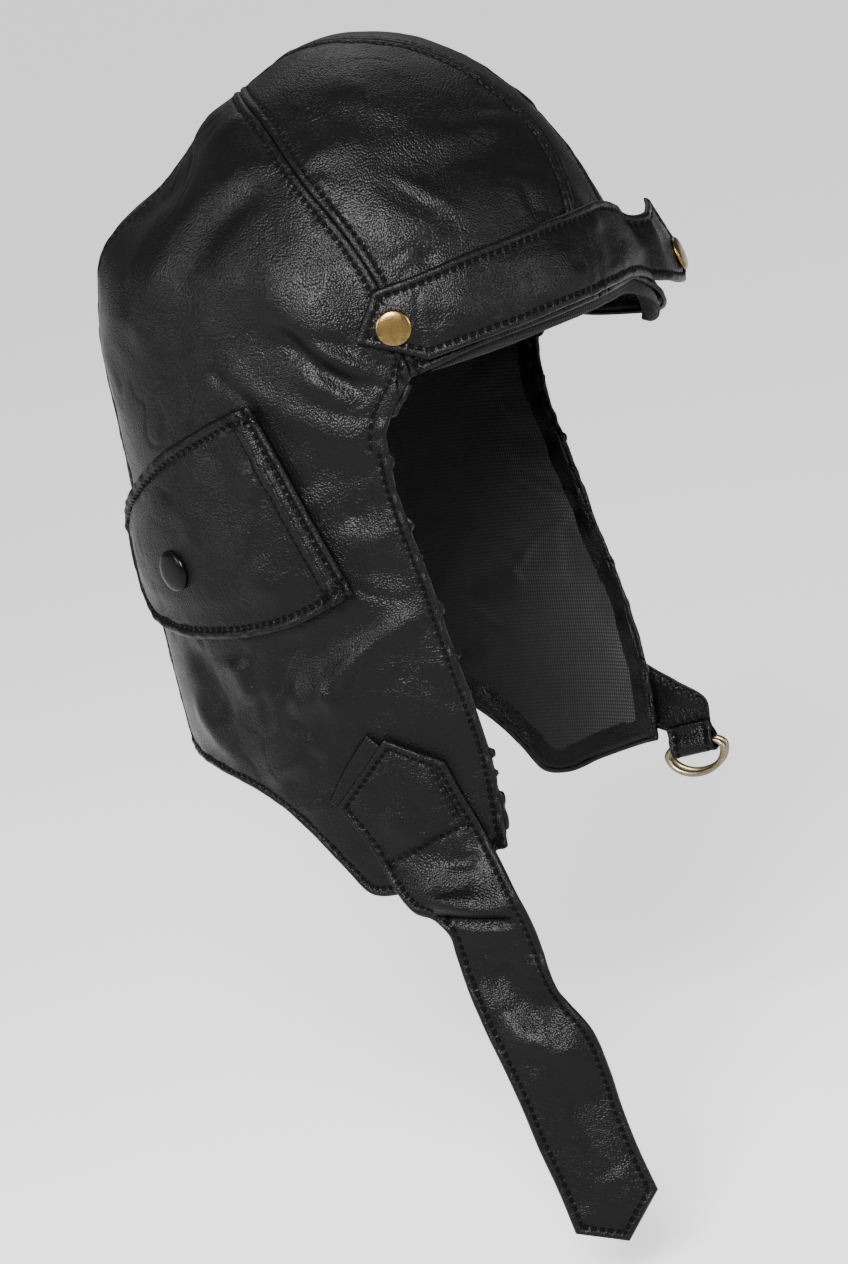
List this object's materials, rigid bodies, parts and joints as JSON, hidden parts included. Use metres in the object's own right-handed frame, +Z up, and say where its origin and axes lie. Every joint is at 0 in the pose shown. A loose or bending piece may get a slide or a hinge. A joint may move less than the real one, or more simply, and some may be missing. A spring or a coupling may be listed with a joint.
{
  "type": "aviator hat",
  "caption": "Soft black imitation-leather cap with ear flaps, a forehead strap and ear covers on press studs, a long chin strap and a short strap with a pair of rings, in its worn form.",
  "frame": {"origin": "centre of the head circumference at the level of the temple snaps", "axes": "+X to the wearer's left, -Y to the front, +Z up"},
  "size_m": [0.1706, 0.2002, 0.4268],
  "materials": {
    "leather": "soft semi-matt imitation leather with a fine pebble grain",
    "knit": "matt black knit",
    "brass": "satin antique brass",
    "black_cap": "glossy black enamel",
    "bronze": "dark antique bronze"
  },
  "bodies": {
    "root": {"crown_centre_strip": "leather", "front_panel_right": "leather", "front_panel_left": "leather", "side_panel_right": "leather", "side_panel_left": "leather", "forehead_strap": "leather", "ear_cover_right": "leather", "ear_cover_left": "leather", "chin_strap": "leather", "ring_strap": "leather", "ring_loop": "leather", "forehead_lining": "knit", "snap_cap_right": "brass", "snap_cap_left": "brass", "snap_socket_left": "brass", "snap_stud_left": "brass", "stud_plate_left": "brass", "cover_cap_right": "black_cap", "cover_cap_left": "black_cap", "ring_outer": "bronze", "ring_inner": "bronze"}
  },
  "joints": []
}
